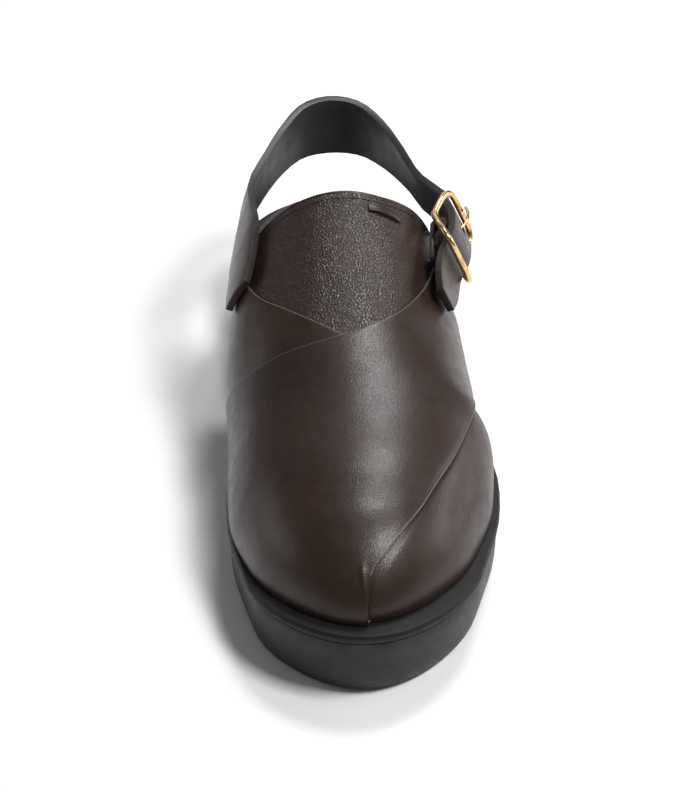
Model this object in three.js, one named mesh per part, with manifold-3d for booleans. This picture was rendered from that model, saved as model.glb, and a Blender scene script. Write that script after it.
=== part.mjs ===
// Peshawari chappal, left shoe: a closed-toe leather upper with two bands that cross over an
// instep panel, a wide strap behind the heel with a saddle-shaped buckle on the outer side,
// and a thick rubber sole with transverse tread blocks.
// Millimetres. +Z up, the toe points along -Y, the outer (lateral) side is +X.
// The origin lies on the floor, under the middle of the heel's flat tread.

import * as THREE from 'three';
import { mergeVertices } from 'three/addons/utils/BufferGeometryUtils.js';
import Module from 'manifold-3d';

const wasm = await Module();
wasm.setup();

// Driving dimensions
const SOLE_LENGTH = 295;
const BALL_WIDTH = 108;
const HEEL_SEAT = 20; // from the origin back to the heel's end
const HEEL_HEIGHT = 34; // floor to the top of the welt at the heel
const FOREFOOT_HEIGHT = 26; // floor to the top of the welt at the ball
const TOE_SPRING = 6; // of the welt
const TREAD_SPRING = 2; // of the tread
const ARCH_RISE = 2.5;
const INSTEP_HEIGHT = 68; // crown of the mouth above the welt
const CLEARANCE = 0.35; // between pieces that touch

// Sole
const WELT_THICKNESS = 4;
const LIP_ROUNDING = 0.8;
const WALL_STEP = 0.9; // the sole's wall stands back under the welt's lip
const WALL_TAPER = 0.8; // the wall draws in this much more down to the tread
const TOE_TAPER = 3.4; // and this much at the toe
const TREAD_BEVEL = 1;
const HEEL_CAP = 35;
const TOE_CAP = 50;
const GROOVE_COUNT = 12;
const GROOVE_WIDTH = 7;
const GROOVE_DEPTH = 6.5;
const GROOVE_FLOOR = 2.2;
const ARCH_GROOVE = 2; // counted from the heel cap, this groove is wider
const ARCH_GROOVE_WIDENING = 4;
const HEEL_ROUNDING = 38;
const TOE_ROUNDING = 40;

// Upper
const FEATHER_SIDE = 5; // welt left bare beside the upper
const FEATHER_HEEL = 3; // welt left bare behind the insole
const FEATHER_TOE = 11; // welt left bare in front of the toe
const WALL = 1.8; // instep panel and lining
const BAND_GAP = 0.8; // between the layers of the upper, on their way round the toe
const INNER_BAND_THICKNESS = 1.2;
const OUTER_BAND_THICKNESS = 1.4;
const BAND_SETTLE_START = 12; // past the inner band's edge the outer band starts to come down
const BAND_SETTLE = 20; // and lies on the instep panel after this much more
const CUT_MARGIN = 4; // a band's cutters stand this much off its faces
const TOE_ZONE = 60; // the toe's steps are closer together
const TOE_ZONE_SHARE = 0.42; // of the steps
const DOME_LENGTH = 30; // over which the toe rises from the welt
const INSOLE_THICKNESS = 3;
const INSOLE_EDGE = 0.8; // the insole's top edge is drawn in
const HEEL_CUP = 1.2; // the insole's sides rise at the heel

// Heel strap and buckle
const STRAP_THICKNESS = 3;
const STRAP_WIDTH = 23;
const STRAP_BILLET_WIDTH = 18; // through the buckle
const STRAP_TIP_WIDTH = 12;
const STRAP_BOW = 0.8; // the strap's middle swells out over its edges behind the heel
const STRAP_TIP_REACH = 24; // of the free end past the buckle
const STRAP_END_REACH = 27; // of the sewn end over the inner quarter
const STRAP_SEWN_ACROSS = 0.41; // on the across scale of the upper
const STRAP_SEWN_SPREAD = 0.17; // of the sewn end's tip, on the same scale
const STRAP_SEWN_SPREAD_REAR = 0.24;
const STRAP_TIP_DROP = 0.3; // the free end comes down by this share of its height
const STRAP_FACES_ALONG = 0.17; // the strap leans towards this place of the length
const STRAP_HEEL_CENTRE = 42; // above the welt at the heel
const BUCKLE_LENGTH = 33;
const BUCKLE_WIDTH = 28;
const BUCKLE_CORNER = 6;
const BUCKLE_WIRE = 3;
const BUCKLE_SADDLE = 6; // the buckle's ends stand off its middle bar
const BUCKLE_ALONG = 0.33; // share of the length, from the heel
const BUCKLE_ACROSS = 1.6; // on the across scale of the upper
const BUCKLE_LIFT = 0.3; // off the outer band
const PRONG_WIRE = 2;
const TAB_THICKNESS = 1.8;
const TAB_WIDTH = 19;
const TAB_REACH = 22;
const LOOP_ACROSS = 1.226; // on the across scale of the upper
const LOOP_SETBACK = 7.5; // from the mouth's edge
const LOOP_LENGTH = 13;
const LOOP_WIDTH = 3;
const LOOP_THICKNESS = 1.4;
const LOOP_ARC = 67; // of the instep panel under the bar, for one step of the across scale

// Outline of the welt's lip: shares of the ball width, along is a share of the length from the
// heel. The ends are rounded on top of this.
const OUTLINE = [
  { along: 0.0, centre: 0.0, half: 0.37 },
  { along: 0.13, centre: 0.0, half: 0.38 },
  { along: 0.25, centre: -0.002, half: 0.38 },
  { along: 0.36, centre: -0.006, half: 0.394 },
  { along: 0.47, centre: -0.012, half: 0.432 },
  { along: 0.57, centre: -0.009, half: 0.474 },
  { along: 0.65, centre: -0.003, half: 0.498 },
  { along: 0.7, centre: -0.008, half: 0.5 },
  { along: 0.76, centre: -0.019, half: 0.487 },
  { along: 0.85, centre: -0.036, half: 0.43 },
  { along: 0.92, centre: -0.046, half: 0.384 },
  { along: 1.0, centre: -0.051, half: 0.333 },
];

// Sections of the upper: how far each side swells out over the welt, as shares of the ball
// width, and the crown's height over the welt, as a share of the instep height.
const SECTIONS = [
  { along: 0.2, inner: 0.09, outer: 0.07, crown: 1.1 },
  { along: 0.325, inner: 0.115, outer: 0.085, crown: 1.0 },
  { along: 0.407, inner: 0.13, outer: 0.062, crown: 0.9 },
  { along: 0.475, inner: 0.118, outer: 0.044, crown: 0.81 },
  { along: 0.52, inner: 0.085, outer: 0.024, crown: 0.765 },
  { along: 0.559, inner: 0.05, outer: 0.014, crown: 0.72 },
  { along: 0.6, inner: 0.03, outer: 0.022, crown: 0.68 },
  { along: 0.635, inner: 0.02, outer: 0.04, crown: 0.648 },
  { along: 0.705, inner: 0.016, outer: 0.02, crown: 0.59 },
  { along: 0.793, inner: 0.004, outer: 0.0, crown: 0.525 },
  { along: 0.861, inner: 0.0, outer: 0.0, crown: 0.435 },
  { along: 0.915, inner: 0.0, outer: 0.0, crown: 0.37 },
  { along: 1.0, inner: 0.0, outer: 0.0, crown: 0.27 },
];

// Edges that run across the upper. across is 0 at the inner welt, 1 on the crown and 2 at the
// outer welt, and along is a share of the length from the heel.
const MOUTH_EDGE = [
  { across: 0, along: 0.372 },
  { across: 0.2, along: 0.332 },
  { across: 0.4, along: 0.324 },
  { across: 1, along: 0.327 },
  { across: 1.2, along: 0.327 },
  { across: 1.33, along: 0.32 },
  { across: 1.44, along: 0.312 },
  { across: 1.56, along: 0.31 },
  { across: 1.7, along: 0.32 },
  { across: 1.85, along: 0.345 },
  { across: 2, along: 0.386 },
];
const INNER_BAND_EDGE = [
  { across: 0, along: 0.385 },
  { across: 0.2, along: 0.345 },
  { across: 0.3, along: 0.336 },
  { across: 0.37, along: 0.366 },
  { across: 0.45, along: 0.405 },
  { across: 0.56, along: 0.453 },
  { across: 0.67, along: 0.488 },
  { across: 0.79, along: 0.524 },
  { across: 0.95, along: 0.562 },
  { across: 1.1, along: 0.588 },
  { across: 1.25, along: 0.575 },
  { across: 1.42, along: 0.54 },
  { across: 1.6, along: 0.505 },
  { across: 1.8, along: 0.467 },
  { across: 2, along: 0.434 },
];
const OUTER_BAND_EDGE = [
  { across: 0, along: 0.53 },
  { across: 0.15, along: 0.54 },
  { across: 0.29, along: 0.55 },
  { across: 0.47, along: 0.567 },
  { across: 0.62, along: 0.57 },
  { across: 0.79, along: 0.573 },
  { across: 0.95, along: 0.568 },
  { across: 1.09, along: 0.553 },
  { across: 1.24, along: 0.523 },
  { across: 1.38, along: 0.473 },
  { across: 1.49, along: 0.425 },
  { across: 1.57, along: 0.38 },
  { across: 1.62, along: 0.348 },
  { across: 1.68, along: 0.335 },
  { across: 1.8, along: 0.348 },
  { across: 2, along: 0.395 },
];
// The toe seam: the outer band's front edge, from the toe's middle to the outer welt.
const TOE_SEAM = [
  { ahead: 0.0, across: 1.004 },
  { ahead: 0.02, across: 1.004 },
  { ahead: 0.035, across: 1.05 },
  { ahead: 0.067, across: 1.2 },
  { ahead: 0.118, across: 1.32 },
  { ahead: 0.189, across: 1.418 },
  { ahead: 0.268, across: 1.5 },
  { ahead: 0.323, across: 1.56 },
  { ahead: 0.375, across: 1.65 },
  { ahead: 0.43, across: 1.79 },
  { ahead: 0.49, across: 2.0 },
];

// Heel strap between the upper and the buckle: places of its middle line, with x a share of the
// ball width and along a share of the length from the heel. rise is its height over the heel's
// centre height, lean how far its top edge leans in, and width its own width there, all as shares
// of the strap's width.
const STRAP_ROUTE = [
  { x: -0.365, along: 0.225, rise: -0.13, lean: 0.22, width: 1.0 },
  { x: -0.285, along: 0.15, rise: -0.05, lean: 0.17, width: 1.04 },
  { x: -0.2, along: 0.088, rise: 0.02, lean: 0.17, width: 1.14 },
  { x: -0.11, along: 0.047, rise: 0.07, lean: 0.17, width: 1.24 },
  { x: 0.0, along: 0.036, rise: 0.09, lean: 0.17, width: 1.28 },
  { x: 0.11, along: 0.047, rise: 0.07, lean: 0.17, width: 1.22 },
  { x: 0.2, along: 0.088, rise: 0.02, lean: 0.17, width: 1.08 },
  { x: 0.275, along: 0.148, rise: -0.05, lean: 0.22, width: 0.94 },
  { x: 0.33, along: 0.205, rise: -0.12, lean: 0.28, width: 0.84 },
];

// Steps of the faceted surfaces
const SOLE_STEPS = 48;
const UPPER_STEPS = 22;
const ACROSS_STEPS = 24;
const STRAP_STEPS = 56;
const EDGE_STEPS = 28;
const SEAM_STEPS = 6;
const CUT_STEPS = 5;
const INSOLE_STEPS = 40;

const heelEnd = HEEL_SEAT;
const toeTip = HEEL_SEAT - SOLE_LENGTH;
const placeY = (along) => heelEnd - along * SOLE_LENGTH;
const alongOf = (y) => (heelEnd - y) / SOLE_LENGTH;
const clamp01 = (value) => Math.min(1, Math.max(0, value));
const mix = (a, b, share) => a + (b - a) * share;
const smooth = (value) => clamp01(value) ** 2 * (3 - 2 * clamp01(value));
const roundedEnd = (distance, length) => Math.sqrt(Math.max(0, 1 - (1 - clamp01(distance / length)) ** 2));

// A smooth curve through one column of a table.
function column(rows, key, value) {
  return (at) => {
    const last = rows.length - 1;
    let i = 0;
    while (i < last - 1 && at > rows[i + 1][key]) i += 1;
    const slope = (k) => {
      const low = rows[Math.max(0, k - 1)];
      const high = rows[Math.min(last, k + 1)];
      return (high[value] - low[value]) / (high[key] - low[key]);
    };
    const span = rows[i + 1][key] - rows[i][key];
    const t = clamp01((at - rows[i][key]) / span);
    const rest = 1 - t;
    return (
      rows[i][value] * (1 + 2 * t) * rest * rest +
      rows[i + 1][value] * (3 - 2 * t) * t * t +
      span * (slope(i) * t * rest * rest - slope(i + 1) * t * t * rest)
    );
  };
}

const outlineCentre = column(OUTLINE, 'along', 'centre');
const outlineHalf = column(OUTLINE, 'along', 'half');
const sectionInner = column(SECTIONS, 'along', 'inner');
const sectionOuter = column(SECTIONS, 'along', 'outer');
const sectionCrown = column(SECTIONS, 'along', 'crown');
const mouthEdge = column(MOUTH_EDGE, 'across', 'along');
const innerBandEdge = column(INNER_BAND_EDGE, 'across', 'along');
const outerBandEdge = column(OUTER_BAND_EDGE, 'across', 'along');
const toeSeam = column(TOE_SEAM, 'ahead', 'across');

// A closed box of steps, with every point carried to its place by a function of three shares.
function bentBox(stepsU, stepsV, stepsW, place) {
  const box = new THREE.BoxGeometry(1, 1, 1, stepsU, stepsV, stepsW);
  const points = box.attributes.position;
  for (let i = 0; i < points.count; i += 1) {
    const p = place(points.getX(i) + 0.5, points.getY(i) + 0.5, points.getZ(i) + 0.5);
    points.setXYZ(i, p.x, p.y, p.z);
  }
  return welded(box);
}

// Merges the points, drops the triangles that closed up and points the faces outwards.
function welded(geometry) {
  geometry.deleteAttribute('normal');
  geometry.deleteAttribute('uv');
  const merged = mergeVertices(geometry, 1e-3);
  const from = merged.index.array;
  const points = merged.attributes.position;
  const corner = [new THREE.Vector3(), new THREE.Vector3(), new THREE.Vector3()];
  const kept = [];
  let volume = 0;
  for (let i = 0; i < from.length; i += 3) {
    const [a, b, c] = [from[i], from[i + 1], from[i + 2]];
    if (a !== b && b !== c && c !== a) {
      kept.push(a, b, c);
      [a, b, c].forEach((vertex, k) => corner[k].fromBufferAttribute(points, vertex));
      volume += corner[0].dot(corner[1].cross(corner[2]));
    }
  }
  if (volume < 0) kept.reverse();
  merged.setIndex(kept);
  return merged;
}

function toSolid(geometry) {
  const closed = welded(geometry);
  const vertProperties = new Float32Array(closed.attributes.position.array);
  const triVerts = new Uint32Array(closed.index.array);
  return new wasm.Manifold(new wasm.Mesh({ numProp: 3, vertProperties, triVerts }));
}

function toGeometry(solid) {
  const mesh = solid.getMesh();
  const geometry = new THREE.BufferGeometry();
  geometry.setAttribute('position', new THREE.BufferAttribute(new Float32Array(mesh.vertProperties), 3));
  geometry.setIndex([...mesh.triVerts]);
  return geometry;
}

// Heights of the sole
function weltTop(y) {
  const heelRise = smooth((alongOf(y) - 0.59) / -0.45);
  const toeRise = clamp01((alongOf(y) - 0.69) / 0.31) ** 1.8;
  return FOREFOOT_HEIGHT + (HEEL_HEIGHT - FOREFOOT_HEIGHT) * heelRise + TOE_SPRING * toeRise;
}

function treadHeight(y) {
  const along = alongOf(y);
  const arch = smooth((along - 0.16) / 0.17) * smooth((0.58 - along) / 0.17);
  const toe = clamp01((along - 0.72) / 0.28) ** 2;
  const heelBevel = clamp01(1 - along / 0.05) ** 2;
  return ARCH_RISE * arch + TREAD_SPRING * toe + TREAD_BEVEL * heelBevel;
}

// A point of the sole's outline, drawn in by an inset. side is -1 on the inner side and 1 on the
// outer one, and share runs from the heel's end to the toe's tip.
function outlinePoint(share, side, inset) {
  const along = (1 - Math.cos(share * Math.PI)) / 2;
  const y = mix(heelEnd - inset, toeTip + inset, along);
  const at = alongOf(y);
  const half = outlineHalf(at) * BALL_WIDTH - inset;
  const ends = roundedEnd(heelEnd - inset - y, HEEL_ROUNDING) * roundedEnd(y - toeTip - inset, TOE_ROUNDING);
  return new THREE.Vector2(outlineCentre(at) * BALL_WIDTH + side * half * ends, y);
}

// A slab with the sole's outline: top and bottom are functions of y, and its inset is one of the
// shares of height and length.
function outlineSlab(stepsAcross, layers, insetAt, bottom, top) {
  return bentBox(SOLE_STEPS, stepsAcross, layers, (u, v, w) => {
    const p = outlinePoint(u, v * 2 - 1, insetAt(w, u));
    return new THREE.Vector3(p.x, p.y, mix(bottom(p.y), top(p.y), w));
  });
}

const grooves = [];
{
  const treadLength = SOLE_LENGTH - HEEL_CAP - TOE_CAP;
  const cut = GROOVE_COUNT * GROOVE_WIDTH + ARCH_GROOVE_WIDENING;
  const block = (treadLength - cut) / (GROOVE_COUNT - 1);
  let start = heelEnd - HEEL_CAP;
  for (let i = 0; i < GROOVE_COUNT; i += 1) {
    const width = GROOVE_WIDTH + (i === ARCH_GROOVE ? ARCH_GROOVE_WIDENING : 0);
    grooves.push({ start, width });
    start -= width + block;
  }
}

// One groove: a steep wall behind, a narrow floor, and a slope up to the next block.
function grooveCutter({ start, width }) {
  const low = treadHeight(start - width / 2);
  const below = -BALL_WIDTH / 10;
  const profile = new THREE.Shape();
  profile.moveTo(start, below);
  profile.lineTo(start, low + GROOVE_DEPTH);
  profile.lineTo(start - GROOVE_FLOOR, low + GROOVE_DEPTH);
  profile.lineTo(start - width, treadHeight(start - width));
  profile.lineTo(start - width, below);
  const cutter = new THREE.ExtrudeGeometry(profile, { depth: BALL_WIDTH * 1.4, bevelEnabled: false });
  // the profile's own x and y become the shoe's y and z, and it runs across the shoe
  const across = new THREE.Matrix4().makeBasis(
    new THREE.Vector3(0, 1, 0),
    new THREE.Vector3(0, 0, 1),
    new THREE.Vector3(1, 0, 0),
  );
  return cutter.applyMatrix4(across).translate(-BALL_WIDTH * 0.7, 0, 0);
}

function outsole() {
  const layers = 4;
  const insetAt = (w, u) => {
    const taper = mix(WALL_TAPER, TOE_TAPER, smooth((u - 0.6) / 0.4));
    return WALL_STEP + taper * (1 - w) ** 1.5 + TREAD_BEVEL * clamp01(1 - w * layers) ** 2;
  };
  const top = (y) => weltTop(y) - WELT_THICKNESS - CLEARANCE;
  let solid = toSolid(outlineSlab(2, layers, insetAt, treadHeight, top));
  for (const groove of grooves) solid = solid.subtract(toSolid(grooveCutter(groove)));
  return toGeometry(solid);
}

function welt() {
  const insetAt = (w) => (w === 0 || w === 1 ? LIP_ROUNDING : 0);
  return outlineSlab(2, 3, insetAt, (y) => weltTop(y) - WELT_THICKNESS, weltTop);
}

function featherInset(along) {
  const side = mix(FEATHER_HEEL, FEATHER_SIDE, smooth((along - 0.1) / 0.25));
  return mix(side, FEATHER_TOE, smooth((along - 0.75) / 0.25));
}

// Where the upper meets the welt. out is the distance outwards from the instep panel's surface.
function upperTip(out) {
  return toeTip + FEATHER_TOE - out;
}

function featherHalf(y, out) {
  const along = alongOf(y);
  const toe = roundedEnd(y - upperTip(out), TOE_ROUNDING - FEATHER_TOE / 2 + out);
  const heel = roundedEnd(heelEnd - FEATHER_HEEL + out - y, HEEL_ROUNDING + out);
  return (outlineHalf(along) * BALL_WIDTH - featherInset(along) + out) * toe * heel;
}

function insole() {
  return bentBox(INSOLE_STEPS, 4, 1, (u, v, w) => {
    const side = v * 2 - 1;
    const out = -WALL - 2 * CLEARANCE - INSOLE_EDGE * w;
    const y = mix(heelEnd - FEATHER_HEEL + out, upperTip(out), (1 - Math.cos(u * Math.PI)) / 2);
    const cup = HEEL_CUP * side * side * smooth(1 - u * 1.6);
    const x = outlineCentre(alongOf(y)) * BALL_WIDTH + side * featherHalf(y, out);
    return new THREE.Vector3(x, y, weltTop(y) + CLEARANCE + w * (INSOLE_THICKNESS + cup));
  });
}

// The upper's surface. across is 0 to 2 over the crown, and y is the place along the shoe.
function upperPoint(y, across, out) {
  const along = alongOf(y);
  const side = across < 1 ? -1 : 1;
  const angle = ((across < 1 ? across : 2 - across) * Math.PI) / 2;
  const half = featherHalf(y, out);
  const swell = (side < 0 ? sectionInner(along) : sectionOuter(along)) * BALL_WIDTH;
  const dome = roundedEnd(y - upperTip(out), DOME_LENGTH + out);
  const crown = (sectionCrown(along) * INSTEP_HEIGHT + out) * dome;
  const low = (1 - Math.sin(angle)) ** 3;
  const x = (half + swell) * Math.cos(angle) - swell * low;
  return new THREE.Vector3(
    outlineCentre(along) * BALL_WIDTH + side * x,
    y,
    weltTop(y) + CLEARANCE + crown * Math.sin(angle),
  );
}

// A place along a layer of the upper, from its tip at share 0 to its rear edge at share 1.
function layerY(share, tip, rear) {
  if (share < TOE_ZONE_SHARE) return tip + TOE_ZONE * (1 - Math.cos((share / TOE_ZONE_SHARE) * (Math.PI / 2)));
  return mix(tip + TOE_ZONE, rear, (share - TOE_ZONE_SHARE) / (1 - TOE_ZONE_SHARE));
}

// A layer of the upper, from the toe to the mouth. outAt gives its distance outwards, and its last
// argument is 0 on the layer's inner face and 1 on its outer face.
function upperLayer(outAt) {
  return bentBox(UPPER_STEPS, ACROSS_STEPS, 1, (u, v, w) => {
    const across = v * 2;
    const y = layerY(u, upperTip(outAt(toeTip, across, w)), placeY(mouthEdge(across)));
    return upperPoint(y, across, outAt(y, across, w));
  });
}

// What is cut off a band: a thick layer around it, which also reaches below the upper's foot.
function bandCutter(stepsAlong, stepsAcross, yAt, acrossAt) {
  return bentBox(stepsAlong, stepsAcross, 1, (u, v, w) => {
    const out = mix(-CUT_MARGIN, CUT_MARGIN + CLEARANCE + INNER_BAND_THICKNESS + OUTER_BAND_THICKNESS, w);
    const y = yAt(u, v, out);
    const across = acrossAt(u, v);
    const p = upperPoint(y, across, out);
    const foot = across === 0 || across === 2 || y === upperTip(out);
    return foot ? p.setZ(p.z - CUT_MARGIN) : p;
  });
}

// Everything behind a band's rear edge
function behindEdge(edge) {
  const end = placeY(SECTIONS[0].along);
  const yAt = (u, v) => mix(placeY(edge(v * 2)), end, u);
  return bandCutter(CUT_STEPS, EDGE_STEPS, yAt, (u, v) => v * 2);
}

// Everything in front of the toe seam
function beforeSeam() {
  const reach = TOE_SEAM[TOE_SEAM.length - 1].ahead;
  const aheadAt = (u) => reach * (1 - Math.cos((u * Math.PI) / 2));
  const yAt = (u, v, out) => upperTip(out) + aheadAt(u) * SOLE_LENGTH;
  return bandCutter(EDGE_STEPS, SEAM_STEPS, yAt, (u, v) => mix(toeSeam(aheadAt(u)), 2, v));
}

function upper() {
  return upperLayer((y, across, w) => (w - 1) * WALL);
}

function innerBand() {
  const layer = upperLayer((y, across, w) => BAND_GAP + w * INNER_BAND_THICKNESS);
  return toGeometry(toSolid(layer).subtract(toSolid(behindEdge(innerBandEdge))));
}

// The outer band lies on the inner one, and behind its edge on the instep panel.
function outerBandOut(y, across, w) {
  const past = y - placeY(innerBandEdge(across)) - BAND_SETTLE_START;
  const lift = (BAND_GAP + INNER_BAND_THICKNESS) * (1 - smooth(past / BAND_SETTLE));
  return BAND_GAP + lift + w * OUTER_BAND_THICKNESS;
}

function outerBand() {
  const layer = toSolid(upperLayer(outerBandOut));
  const cut = layer.subtract(toSolid(behindEdge(outerBandEdge)));
  return toGeometry(cut.subtract(toSolid(beforeSeam())));
}

// The buckle's own axes, on the outer band: x to the heel, y up across the strap, z outwards.
function buckleFrame() {
  const y = placeY(BUCKLE_ALONG);
  const out = outerBandOut(y, BUCKLE_ACROSS, 1);
  const origin = upperPoint(y, BUCKLE_ACROSS, out);
  const up = upperPoint(y, BUCKLE_ACROSS - 0.1, out).sub(upperPoint(y, BUCKLE_ACROSS + 0.1, out)).normalize();
  const ahead = upperPoint(y - TAB_REACH, BUCKLE_ACROSS, out).sub(origin);
  const outwards = new THREE.Vector3().crossVectors(up, ahead).normalize();
  const back = new THREE.Vector3().crossVectors(up, outwards);
  origin.addScaledVector(outwards, BUCKLE_LIFT);
  return new THREE.Matrix4().makeBasis(back, up, outwards).setPosition(origin);
}

const buckleAxes = buckleFrame();
const wireRadius = BUCKLE_WIRE / 2;
const prongRadius = PRONG_WIRE / 2;
const barHeight = CLEARANCE + PRONG_WIRE + CLEARANCE + wireRadius;
const foldRadius = wireRadius + CLEARANCE;
const eyeOuter = wireRadius + CLEARANCE + PRONG_WIRE;
const strapOverBar = barHeight + eyeOuter + 1.5 * CLEARANCE + STRAP_THICKNESS / 2;
const endBarHeight = barHeight + BUCKLE_SADDLE;
const strapUnderEnd = endBarHeight - wireRadius - 3.5 * CLEARANCE - STRAP_THICKNESS / 2;
const strapBesideBar = mix(strapUnderEnd, strapOverBar, 0.8);

// The lower edge, middle line and upper edge of the heel strap, from its sewn inner end to its
// free tip.
function strapLines() {
  const low = [];
  const middle = [];
  const high = [];
  const sewn = BAND_GAP + INNER_BAND_THICKNESS + 2 * CLEARANCE + STRAP_THICKNESS / 2;
  const sewnStart = placeY(mouthEdge(0.4)) - STRAP_END_REACH;
  for (const step of [0, 0.33, 0.67, 1]) {
    const y = sewnStart + step * STRAP_END_REACH;
    const spread = mix(STRAP_SEWN_SPREAD, STRAP_SEWN_SPREAD_REAR, smooth(step * 2)) / 2;
    low.push(upperPoint(y, STRAP_SEWN_ACROSS - spread, sewn));
    middle.push(upperPoint(y, STRAP_SEWN_ACROSS, sewn));
    high.push(upperPoint(y, STRAP_SEWN_ACROSS + spread, sewn));
  }
  for (const row of STRAP_ROUTE) {
    const y = placeY(row.along);
    const centre = new THREE.Vector3(row.x * BALL_WIDTH, y, HEEL_HEIGHT + STRAP_HEEL_CENTRE + row.rise * STRAP_WIDTH);
    const inwards = new THREE.Vector3(-row.x * BALL_WIDTH, placeY(STRAP_FACES_ALONG) - y, 0).normalize();
    const half = (row.width * STRAP_WIDTH) / 2;
    const tilt = inwards.clone().multiplyScalar((row.lean * STRAP_WIDTH) / 2).setZ(half);
    low.push(centre.clone().sub(tilt));
    middle.push(centre.clone().addScaledVector(inwards, -STRAP_BOW));
    high.push(centre.clone().add(tilt));
  }
  const half = BUCKLE_LENGTH / 2;
  const stations = [
    { back: half + BUCKLE_WIRE, height: strapUnderEnd, width: STRAP_BILLET_WIDTH },
    { back: half, height: strapUnderEnd, width: STRAP_BILLET_WIDTH },
    { back: half / 2, height: strapBesideBar, width: STRAP_BILLET_WIDTH },
    { back: 0, height: strapOverBar, width: STRAP_BILLET_WIDTH },
    { back: -half / 2, height: strapBesideBar, width: STRAP_BILLET_WIDTH },
    { back: -half, height: strapUnderEnd, width: STRAP_BILLET_WIDTH },
    { back: -half - STRAP_TIP_REACH * 0.6, height: strapUnderEnd * (1 - STRAP_TIP_DROP * 0.8), width: STRAP_BILLET_WIDTH },
    { back: -half - STRAP_TIP_REACH, height: strapUnderEnd * (1 - STRAP_TIP_DROP), width: STRAP_TIP_WIDTH },
  ];
  for (const s of stations) {
    low.push(new THREE.Vector3(s.back, -s.width / 2, s.height).applyMatrix4(buckleAxes));
    middle.push(new THREE.Vector3(s.back, 0, s.height).applyMatrix4(buckleAxes));
    high.push(new THREE.Vector3(s.back, s.width / 2, s.height).applyMatrix4(buckleAxes));
  }
  return [low, middle, high].map((points) => new THREE.CatmullRomCurve3(points, false, 'centripetal'));
}

// A point of the ribbon between its three lines, with u along it and v across it.
function ribbonPoint(lines, u, v) {
  const shares = [(1 - v) * (1 - 2 * v), 4 * v * (1 - v), v * (2 * v - 1)];
  const point = new THREE.Vector3();
  lines.forEach((line, i) => point.addScaledVector(line.getPoint(clamp01(u)), shares[i]));
  return point;
}

function prongHole() {
  const length = BUCKLE_LENGTH / 5;
  const hole = new THREE.BoxGeometry(length, PRONG_WIRE + 6 * CLEARANCE, STRAP_THICKNESS * 4);
  hole.translate(length * 0.78, 0, strapOverBar);
  return hole.applyMatrix4(buckleAxes);
}

function heelStrap() {
  const lines = strapLines();
  const step = 0.01;
  const ribbon = bentBox(STRAP_STEPS, 4, 1, (u, v, w) => {
    const ahead = ribbonPoint(lines, u + step, v).sub(ribbonPoint(lines, u - step, v));
    const across = ribbonPoint(lines, u, v + step).sub(ribbonPoint(lines, u, v - step));
    const outwards = ahead.cross(across).normalize();
    return ribbonPoint(lines, u, v).addScaledVector(outwards, (w - 0.5) * STRAP_THICKNESS);
  });
  return toGeometry(toSolid(ribbon).subtract(toSolid(prongHole())));
}

// The tab: a strip from the outer band, folded round the middle bar, with a slot for the prong.
function buckleTab() {
  const outer = foldRadius + TAB_THICKNESS;
  const low = barHeight - outer;
  const rest = barHeight - foldRadius + CLEARANCE;
  const sewnEnd = TAB_REACH * 0.66;
  const strip = new THREE.Shape();
  strip.moveTo(-TAB_REACH, low);
  strip.lineTo(0, low);
  strip.absarc(0, barHeight, outer, -Math.PI / 2, Math.PI / 2, false);
  strip.lineTo(-foldRadius, barHeight + outer);
  strip.lineTo(-foldRadius - 4 * TAB_THICKNESS, rest + TAB_THICKNESS);
  strip.lineTo(-sewnEnd, rest + TAB_THICKNESS);
  strip.lineTo(-sewnEnd, rest);
  strip.lineTo(-foldRadius - 3 * TAB_THICKNESS, rest);
  strip.lineTo(-foldRadius * 0.6, barHeight + foldRadius);
  strip.lineTo(0, barHeight + foldRadius);
  strip.absarc(0, barHeight, foldRadius, Math.PI / 2, -Math.PI / 2, true);
  strip.lineTo(-TAB_REACH, low + TAB_THICKNESS);
  const solid = new THREE.ExtrudeGeometry(strip, { depth: TAB_WIDTH, bevelEnabled: false, curveSegments: 10 });
  // the strip's own x and y are the buckle's rearward and outward directions
  solid.rotateX(Math.PI / 2).translate(0, TAB_WIDTH / 2, 0);
  const room = 2 * (eyeOuter + CLEARANCE);
  const slot = new THREE.BoxGeometry(room, PRONG_WIRE + 2 * CLEARANCE, room);
  slot.translate(0, 0, barHeight);
  return toGeometry(toSolid(solid).subtract(toSolid(slot))).applyMatrix4(buckleAxes);
}

// A point of the buckle's frame: a rounded rectangle whose ends rise from its middle.
function framePoint(turn) {
  const angle = turn * Math.PI * 2;
  const length = BUCKLE_LENGTH / 2;
  const width = BUCKLE_WIDTH / 2;
  const cornerX = length - BUCKLE_CORNER;
  const cornerY = width - BUCKLE_CORNER;
  const cos = Math.cos(angle);
  const sin = Math.sin(angle);
  const reach = Math.max(Math.abs(cos), Math.abs(sin));
  const square = new THREE.Vector2((cos / reach) * length, (sin / reach) * width);
  const core = new THREE.Vector2(
    Math.min(cornerX, Math.max(-cornerX, square.x)),
    Math.min(cornerY, Math.max(-cornerY, square.y)),
  );
  const away = square.clone().sub(core);
  if (Math.abs(away.x) > 0 && Math.abs(away.y) > 0) square.copy(core).addScaledVector(away.normalize(), BUCKLE_CORNER);
  const rise = BUCKLE_SADDLE * Math.abs(square.x / length) ** 1.2;
  return new THREE.Vector3(square.x, square.y, barHeight + rise);
}

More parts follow.
